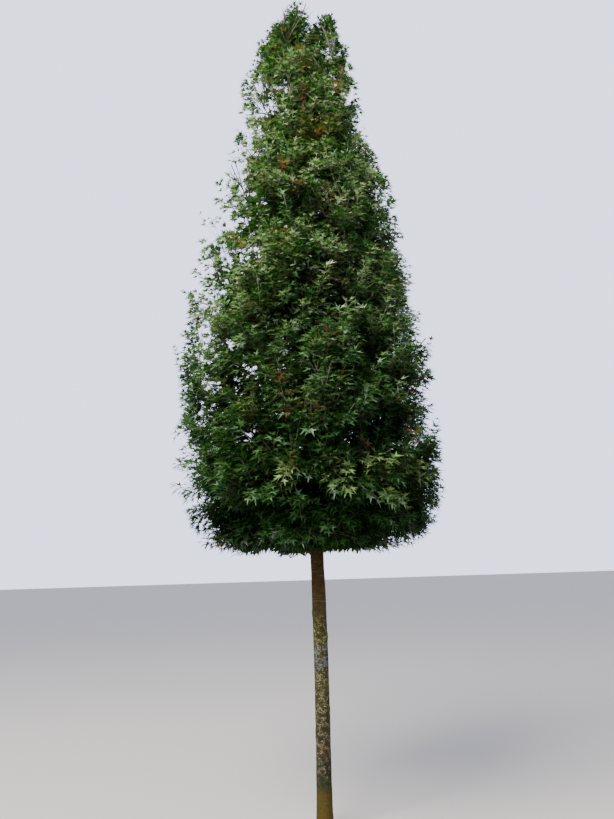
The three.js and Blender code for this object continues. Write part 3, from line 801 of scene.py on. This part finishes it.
# tips spread evenly over the crown's surface, its underside and its tufts, where the outline is ragged
around = rng.uniform(0, 2 * np.pi, SURFACE_SHOOTS)
height = rng.uniform(UNDERSIDE[0], HIGHEST_TIP, SURFACE_SHOOTS)
reach = crown_reach(height, around)
innermost = np.where(height > NO_INSIDE_FROM, 0, SURFACE_DEPTH)
depth = between(innermost, SPRIGS[1], rng.random(SURFACE_SHOOTS) ** OUTWARDNESS)
chosen = rng.random(SURFACE_SHOOTS) < reach / CROWN_RADIUS * (1 + TOP_CROWDING * height_share(height))
surface = round_axis(around, reach * depth, height)[chosen]
around = rng.uniform(0, 2 * np.pi, UNDERSIDE_SHOOTS)
height = rng.uniform(*UNDERSIDE, UNDERSIDE_SHOOTS)
reach = crown_reach(height, around) * np.sqrt(rng.uniform(UNDERSIDE_BARE, 1, UNDERSIDE_SHOOTS))
ends = np.concatenate([surface, round_axis(around, reach, height)])
ends[:, :2] += stem_centre(ends[:, 2])[:, :2]
below = rng.uniform(LEAST_BELOW, TUFT_DEPTH, TUFT_SHOOTS)
around = rng.uniform(0, 2 * np.pi, TUFT_SHOOTS)
tuft = np.array(TUFTS)[rng.integers(len(TUFTS), size=TUFT_SHOOTS)]
reach = tuft[:, 3] * np.sqrt(below / TUFT_DEPTH * rng.random(TUFT_SHOOTS))
ends = np.concatenate([ends, tuft[:, :3] + round_axis(around, reach, -below)])

unevenness = [[size * noise.noise(Vector(end) * pitch) for size, pitch in (LUMPS, BUMPS)] for end in ends]
unevenness = np.sum(unevenness, axis=1)
hanging = UNDERSIDE[0] + HANGING[0] + HANGING[1] * unevenness
sprig = rng.random(len(ends)) < SPRIGS[0]
limit = np.where(sprig, SPRIGS[1], np.minimum(RAGGED[0] + RAGGED[1] * unevenness, 1.0))
inside = (reach_share(ends) < limit) | (ends[:, 2] > TUFTS_FROM)
ends = ends[inside & (ends[:, 2] > hanging) & in_tufts(ends) & in_box(ends)]

# each of those tips is reached from the wood near it that needs the least bend
wood = np.concatenate([twig_lines.reshape(-1, 3), *outer_limbs])
tree_of_wood = KDTree(len(wood))
for index, point in enumerate(wood):
    tree_of_wood.insert(point, index)
tree_of_wood.balance()
upright = rng.random(len(ends)) < UPRIGHT[0]
feet_wanted = ends - np.where(upright, rng.uniform(*UPRIGHT[1:], len(ends)), 0)[:, None] * UP
near = np.array([[found[1] for found in tree_of_wood.find_n(foot, NEAR_WOOD)] for foot in feet_wanted])
spans = ends[:, None] - wood[near]
distances = np.linalg.norm(spans, axis=-1)
_, outwards = from_stem(ends)
lift = between(*SURFACE_LIFT, above_foot(ends[:, 2]))[:, None]
favoured = np.where(upright[:, None], UP, unit(outwards + UP * lift))
cost = distances * (BEND_COST - (unit(spans) * favoured[:, None]).sum(-1))
best = (np.arange(len(ends)), cost.argmin(1))
spans, distances = spans[best], distances[best]
reached = (distances > REACHED[0]) & (distances < REACHED[1])
arch = between(*ARCH[:2], above_foot(ends[:, 2]))[:, None]
bows = (UP * arch + rng.normal(0, ARCH[2], ends.shape)) * distances[:, None]
no_spur = np.zeros(int(reached.sum()), bool)
surface_shoots = (wood[near[best]][reached], spans[reached], bows[reached], no_spur)
all_shoots = [np.concatenate(both) for both in zip(twig_shoots, surface_shoots)]
stays = ~open_to_sky(all_shoots[0] + all_shoots[1]) | (rng.random(len(all_shoots[0])) < LEFT_IN_GAPS)
shoot_feet, shoot_spans, shoot_bows, shoot_spur = (part[stays] for part in all_shoots)
shoot_lengths = np.linalg.norm(shoot_spans, axis=-1)


def joined(parts):
    """Many pieces' points and faces as one piece's."""
    starts = np.cumsum([0] + [len(points) for points, _ in parts])
    faces = [faces + start for (_, faces), start in zip(parts, starts)]
    return np.concatenate([points for points, _ in parts]), np.concatenate(faces)


shoot_parts = []
for rings, some in ((2, shoot_lengths < STRAIGHT_UNDER), (3, shoot_lengths >= STRAIGHT_UNDER)):
    t = np.linspace(0, 1, rings)[:, None]
    lines = shoot_feet[some, None] + shoot_spans[some, None] * t + shoot_bows[some, None] * t * (1 - t)
    shoot_parts.append(tubes(lines, np.tile(between(*SHOOT_RADIUS, t[:, 0]), (len(lines), 1)), 3))
shoots = made_of("shoots", *joined(shoot_parts))
shoots.data.materials.append(young_bark("shoot bark", (0.044, 0.040, 0.019), (0.128, 0.115, 0.072)))
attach(shoots, "root")
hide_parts(*masses)

# Leaves.
# Glossy blades with three narrow lobes, or five low in the crown, on short stalks and folded at the midrib.
# They stand round each shoot by golden-angle turns, crowd at its tip, and take their colour by the spray.
# Painted shade gives them darker greens at the crown's foot, at its top and inside it.
LOBE_SPREAD = 0.54  # how far the lobes reach to each side
LEAF_OUTLINE = ((0.00, 0.00), (0.30, -0.10), (0.12, 0.06), (LOBE_SPREAD, 0.42), (0.12, 0.30), (0.00, 1.00))
UPPER_OUTLINE = ((0.00, 0.00), (0.12, 0.04), (0.42, 0.50), (0.10, 0.34), (0.00, 1.00))  # of those higher up
UPPER_FROM = 3.1
INNER_OUTLINE = ((0.00, 0.00), (0.62, 0.42), (0.24, 0.44), (0.00, 1.20))  # and of those inside the crown
INNER_WITHIN = 0.72  # share of the crown's reach
INNER_BELOW = TUFTS_FROM - 0.2
LEAF_LENGTH = ((0.045, 0.068), (0.034, 0.052))  # shortest and longest, low down and at the top
LENGTH_FALL = 0.75  # power of the height that they get shorter by
STALK_LENGTH = (0.016, 0.038)
STALK_WIDTH = 0.0020
STALK_OPENING = (math.radians(72), math.radians(48), 0.16)  # at a shoot's foot and tip, and how unevenly
STALK_LIFT = 0.12
LEAF_STEP = 0.0115
TIP_LEAVES = 5
SPUR_LEAVES = 5
SPUR_LEAVES_AT = 0.9  # share of the spur
BARE_FOOT = 0.15  # least share of a shoot with no leaves
FIRST_TURN = 6.28  # most that a shoot's first leaf is turned
ODD_WAY = (0.31, 0.17, 0.93)  # one that hardly any shoot runs along
LEAFY_LENGTH = (0.17, 0.27)  # of a shoot, from its tip back, low down and at the top
FOLD = (0.10, 0.38)
TIP_DROP = (0.02, 0.22)
DROOP = ((0.12, 0.60), (0.00, 0.45))  # least and most, at the crown's foot, and from a little way above it
WAY_KEPT = (0.8, 0.45)  # share of its stalk's way that a blade keeps, and of the climb well above the foot
BLADE_PULL = 0.3  # outwards
BLADE_SWERVE = 0.12
SLOPE = ((0.0, 0.85), (0.25, 1.0))  # of a spray's blades outwards: least and most, low down and at the top
TILT = (0.34, 0.14)  # of a blade from its spray's slope, inside the crown and on its surface
TOSSED = (0.12, 3)  # share of the leaves that the wind has turned, and how much further they tilt

FURTHEST_TIP = 1.12  # share of the crown's reach
LOWEST_TIP = CROWN_FOOT + 0.02
HIDDEN_SHARE = 0.84  # of the leaves inside the crown that are drawn
THIN_PLACES = (10.0, 0.10, 2.2, 0.7)  # how many per metre, from what level, how fast, and the most
THIN_RISE = (0.25, 4.2, 5.1)  # share of that low down, and the heights that it grows between
AIRY = (0.40, 4.7)  # share of leaves dropped at the crown's top edge, and from what height it grows
AIRY_EDGE = (2, 0.9, 0.3)  # how fast it grows with the share of the reach, less what, and the least

leafy_length = between(*LEAFY_LENGTH, np.clip(height_share(shoot_feet[:, 2]), 0, 1))
leafy = np.minimum(shoot_lengths, leafy_length)
counts = np.where(shoot_spur, SPUR_LEAVES, np.round(leafy / LEAF_STEP).astype(int) + TIP_LEAVES)
owner = np.repeat(np.arange(len(counts)), counts)
number = np.arange(len(owner)) - np.repeat(np.cumsum(counts) - counts, counts)
leaves = len(owner)
onward = np.minimum(1.0, (number + 1) / np.maximum(1, counts[owner] - TIP_LEAVES + 1))
from_share = np.maximum(BARE_FOOT, 1 - leafy_length / shoot_lengths)[owner]
at = np.where(shoot_spur[owner], SPUR_LEAVES_AT, between(from_share, 1.0, onward))[:, None]
roots = shoot_feet[owner] + shoot_spans[owner] * at + shoot_bows[owner] * at * (1 - at)
axis = unit(shoot_spans[owner] + shoot_bows[owner] * (1 - 2 * at))
side = unit(np.cross(axis, ODD_WAY))
turn = (number * GOLDEN_ANGLE + FIRST_TURN * rng.random(len(counts))[owner])[:, None]
opening = between(*STALK_OPENING[:2], at) + rng.normal(0, STALK_OPENING[2], (leaves, 1))
stalk_way = unit(opened(axis, side, turn, opening) + UP * STALK_LIFT)
bases = roots + stalk_way * rng.uniform(*STALK_LENGTH, (leaves, 1))


def by_height(share, start, end):
    """For each leaf, from share at height start to 1 at height end."""
    return between(share, 1, np.clip((bases[:, 2] - start) / (end - start), 0, 1))


rise = np.clip(height_share(bases[:, 2:]), 0, 1)
clear_of_foot = above_foot(bases[:, 2:])
_, outwards = from_stem(bases)
droop = size_from(DROOP, clear_of_foot, rng.random((leaves, 1)))
kept_way = stalk_way * between(*WAY_KEPT, clear_of_foot * UP)
swerve = rng.normal(0, BLADE_SWERVE, (leaves, 3))
blade_way = unit(kept_way + outwards * BLADE_PULL - UP * droop + swerve)
tilt = between(*TILT, np.clip(reach_share(bases) / INNER_WITHIN, 0, 1))[:, None]
tilt = np.where(rng.random((leaves, 1)) < TOSSED[0], TOSSED[1] * tilt, tilt)
slope = size_from(SLOPE, rise, rng.random((len(counts), 1))[owner])
face = UP + outwards * slope + rng.normal(0, 1, (leaves, 3)) * tilt
face = unit(face - blade_way * (face * blade_way).sum(-1, keepdims=True))
across = np.cross(blade_way, face)
blade = size_from(LEAF_LENGTH, rise**LENGTH_FALL, rng.random((leaves, 1)))
fold = rng.uniform(*FOLD, (leaves, 1))
tip_drop = rng.uniform(*TIP_DROP, (leaves, 1))

tips = bases + blade_way * blade
lobes = blade * across * LOBE_SPREAD
ends = np.stack([tips, bases + lobes, bases - lobes], 1)
shares = reach_share(bases)
kept = ((reach_share(tips) < FURTHEST_TIP) | (tips[:, 2] > TUFTS_FROM)) & (tips[:, 2] > LOWEST_TIP)
kept &= in_box(ends).all(1)
thin_pitch, thin_above, thin_growth, thinnest = THIN_PLACES
thin = np.array([noise.noise(Vector(tip) * thin_pitch) for tip in shoot_feet + shoot_spans])[owner]
thinned = by_height(*THIN_RISE) * np.clip((thin - thin_above) * thin_growth, 0, thinnest)
kept &= rng.random(leaves) > thinned
airy_share, airy_from = AIRY
growth, less, least = AIRY_EDGE
airy = by_height(0, airy_from, TREE_HEIGHT) * np.clip(shares * growth - less, least, 1)
kept &= rng.random(leaves) > airy_share * np.sqrt(airy)
kept &= ~open_to_sky(bases)
hidden = (shares < INNER_WITHIN) & (bases[:, 2] < INNER_BELOW)
kept &= ~hidden | (rng.random(leaves) < HIDDEN_SHARE)


def leaf_mesh(chosen, half, stalked):
    """The points and faces of some of the leaves. Each is a fan of triangles from the foot of its blade."""
    half = np.array(half)
    outline = np.concatenate([half, half[-2:0:-1] * [-1, 1]])
    width, onward = outline[:, 0], outline[:, 1]
    size = blade[chosen]
    lift = fold[chosen] * np.abs(width) - tip_drop[chosen] * onward**2
    points = (
        bases[chosen, None]
        + (size * across[chosen])[:, None] * width[:, None]
        + (size * blade_way[chosen])[:, None] * onward[:, None]
        + (size * face[chosen])[:, None] * lift[..., None]
    )
    corners = np.arange(1, len(outline) - 1)
    faces = np.stack([0 * corners, corners, corners + 1], -1)
    if stalked:
        half_stalk = across[chosen] * STALK_WIDTH / 2
        stalks = np.stack([roots[chosen], bases[chosen] + half_stalk, bases[chosen] - half_stalk], 1)
        points = np.concatenate([points, stalks], 1)
        faces = np.concatenate([faces, len(outline) + np.array([[0, 1, 2]])])
    starts = np.arange(len(chosen)) * points.shape[1]
    return points.reshape(-1, 3), (faces[None] + starts[:, None, None]).reshape(-1, 3)


# base colour, the light that comes through, and how many leaves or sprays of a hundred have it
GREENS = {
    "deep_green": ((0.008, 0.031, 0.005), (0.011, 0.049, 0.004), 35),
    "mid_green": ((0.041, 0.088, 0.031), (0.060, 0.135, 0.020), 31),
    "fresh_green": ((0.114, 0.179, 0.092), (0.134, 0.230, 0.064), 20),
    "yellow_green": ((0.246, 0.294, 0.176), (0.246, 0.308, 0.108), 14),
}
TINTS = {
    "olive": ((0.054, 0.060, 0.017), (0.078, 0.088, 0.012), 6.0),
    "bronze": ((0.080, 0.052, 0.028), (0.095, 0.055, 0.016), 1.5),
    "russet": ((0.160, 0.075, 0.026), (0.200, 0.085, 0.018), 0.3),
    "young_green": ((0.112, 0.172, 0.052), (0.134, 0.215, 0.040), 0.0),
}
TINTED = 0.75  # of a tinted spray's leaves, the others being green still
TONE_SPREAD = 0.24  # between the leaves of one spray
SHADED_FOOT = (0.35, 1.8, 3.4)  # share of its tone at the crown's foot, and the heights to all of it
SHADED_TOP = (0.80, 5.7, 4.9)  # and at its top, which is seen from below
SHADED_INSIDE = 0.65  # and inside it
PALEST = 0.999  # tone, as 1 is past the last green
CLOUDED = (0.8, 1.2)  # a leaf's darker and paler parts, as shares of its colour
LIGHT_THROUGH = 0.30
MOST_LEAVES = 20000  # in one piece
# autumn sprays and young rosettes with a place of their own: where, finish, how many sprays
PLACED_SPRAYS = (
    ((0.04, -0.28, 5.60), "russet", 2),
    ((-0.18, -0.34, 5.41), "bronze", 3),
    ((0.24, -0.36, 5.10), "russet", 2),
    ((0.04, -0.46, 4.93), "bronze", 3),
    ((0.09, -0.50, 4.70), "olive", 16),
    ((0.11, -0.50, 4.62), "russet", 1),
    ((0.00, -0.30, 5.30), "olive", 14),
    ((0.30, -0.30, 5.34), "bronze", 2),
    ((-0.28, -0.42, 4.98), "olive", 6),
    ((-0.15, -0.83, 2.10), "bronze", 1),
    ((-0.15, -0.80, 2.12), "young_green", 5),
    ((0.14, -0.82, 2.11), "young_green", 5),
    ((0.38, -0.73, 2.26), "young_green", 6),
    ((0.55, -0.62, 2.04), "young_green", 4),
    ((0.66, -0.52, 2.22), "young_green", 3),
)


def leaf_material(name, colour, through):
    material, tree, surface = shader(name, roughness=0.38, specular=0.24)
    place = put(tree, "ShaderNodeTexCoord").outputs["Object"]
    deep, pale = (tuple(depth * part for part in colour) for depth in CLOUDED)
    clouded = ramp(tree, clouds(tree, place, scale=26.0, detail=2.0), [(0.4, deep), (0.6, pale)])
    tree.links.new(clouded, surface.inputs["Base Color"])
    thin_blade = put(tree, "ShaderNodeBsdfTranslucent", Color=(*through, 1.0)).outputs[0]
    mixed = put(tree, "ShaderNodeMixShader", _0=LIGHT_THROUGH, _1=surface.outputs[0], _2=thin_blade)
    tree.links.new(mixed.outputs[0], tree.nodes["Material Output"].inputs["Surface"])
    return material


def summed_shares(colours):
    return np.cumsum([share for _, _, share in colours.values()]) / 100


spray_tone = rng.random(len(counts))
spray_tint = np.searchsorted(summed_shares(TINTS), rng.random(len(counts)))[owner]
tone = np.abs(spray_tone[owner] + rng.normal(0, TONE_SPREAD, leaves))
tone = np.where(tone > 1, 2 - tone, tone)
# painted shade: leaves at the crown's top, inside it and at its foot are dealt darker greens
tone *= by_height(*SHADED_TOP) * np.where(shares < INNER_WITHIN, SHADED_INSIDE, 1)
tone *= by_height(*SHADED_FOOT)
finish = np.searchsorted(summed_shares(GREENS), np.clip(tone, 0, PALEST))
tinted = (spray_tint < len(TINTS)) & (rng.random(leaves) < TINTED)
finish[tinted] = len(GREENS) + spray_tint[tinted]
finishes = {**GREENS, **TINTS}
shoot_tips = shoot_feet + shoot_spans
for place, name, sprays in PLACED_SPRAYS:
    nearest_tips = np.argsort(np.linalg.norm(shoot_tips - place, axis=-1))[:sprays]
    finish[np.isin(owner, nearest_tips) & (rng.random(leaves) < TINTED)] = list(finishes).index(name)

kinds = ((LEAF_OUTLINE, True), (UPPER_OUTLINE, True), (INNER_OUTLINE, False))
kind = np.where(hidden, 2, (bases[:, 2] > UPPER_FROM).astype(int))
for index, (name, (colour, through, _)) in enumerate(finishes.items()):
    chosen = np.flatnonzero(kept & (finish == index))
    material = leaf_material(f"{name} leaf", colour, through)
    batches = np.array_split(chosen, max(1, math.ceil(len(chosen) / MOST_LEAVES)))
    for batch_number, batch in enumerate(batches, 1):
        parts = [leaf_mesh(batch[kind[batch] == i], *shape) for i, shape in enumerate(kinds)]
        piece = made_of(f"leaves_{name}_{batch_number}", *joined(parts))
        piece.data.materials.append(material)
        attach(piece, "root")
        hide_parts(*masses)

# Floor and light.
# A pale matt floor under an even, pale sky, with one large soft lamp high up in front.
FLOOR_SIZE = 600.0
FLOOR_COLOUR = (0.27, 0.25, 0.215)
SKY_COLOUR = (0.72, 0.77, 1.0)
SKY_STRENGTH = 2.55
LAMP_PLACE = (-4.0, -6.2, 9.8)
LAMP_AIM = (0.0, 0.0, 3.6)
LAMP_SIZE = 6.0
LAMP_POWER = 5600
LAMP_COLOUR = (1.0, 0.97, 0.92)

bpy.ops.mesh.primitive_plane_add(size=FLOOR_SIZE)
floor = bpy.context.object
floor.name = "floor"
material, tree, surface = shader("pale floor", roughness=0.9, specular=0.2)
surface.inputs["Base Color"].default_value = (*FLOOR_COLOUR, 1.0)
floor.data.materials.append(material)

world = bpy.data.worlds.new("pale sky")
bpy.context.scene.world = world
world.use_nodes = True
sky = world.node_tree.nodes["Background"]
sky.inputs["Color"].default_value = (*SKY_COLOUR, 1.0)
sky.inputs["Strength"].default_value = SKY_STRENGTH

lamp_data = bpy.data.lights.new("soft lamp", "AREA")
lamp_data.energy = LAMP_POWER
lamp_data.size = LAMP_SIZE
lamp_data.color = LAMP_COLOUR
lamp = bpy.data.objects.new("soft lamp", lamp_data)
bpy.context.scene.collection.objects.link(lamp)
lamp.location = LAMP_PLACE
lamp.rotation_euler = (Vector(LAMP_AIM) - lamp.location).to_track_quat("-Z", "Y").to_euler()

# Camera.
# At eye height, five metres in front of the stem, tipped up and rolled a little as the photograph is.
IMAGE_HEIGHT = 819
FOCAL_PIXELS = 728
SENSOR = 36.0
TIPPED_UP = math.radians(12.89)
TURNED_LEFT = math.radians(0.33)
ROLLED = math.radians(-1.8)

camera_data = bpy.data.cameras.new("camera")
camera_data.sensor_width = SENSOR
camera_data.lens = SENSOR * FOCAL_PIXELS / IMAGE_HEIGHT
camera = bpy.data.objects.new("camera", camera_data)
bpy.context.scene.collection.objects.link(camera)
bpy.context.scene.camera = camera
camera.location = EYE
aimed = Euler((math.pi / 2 + TIPPED_UP, 0, TURNED_LEFT)).to_matrix()
camera.rotation_euler = (aimed @ Euler((0, 0, ROLLED)).to_matrix()).to_euler()
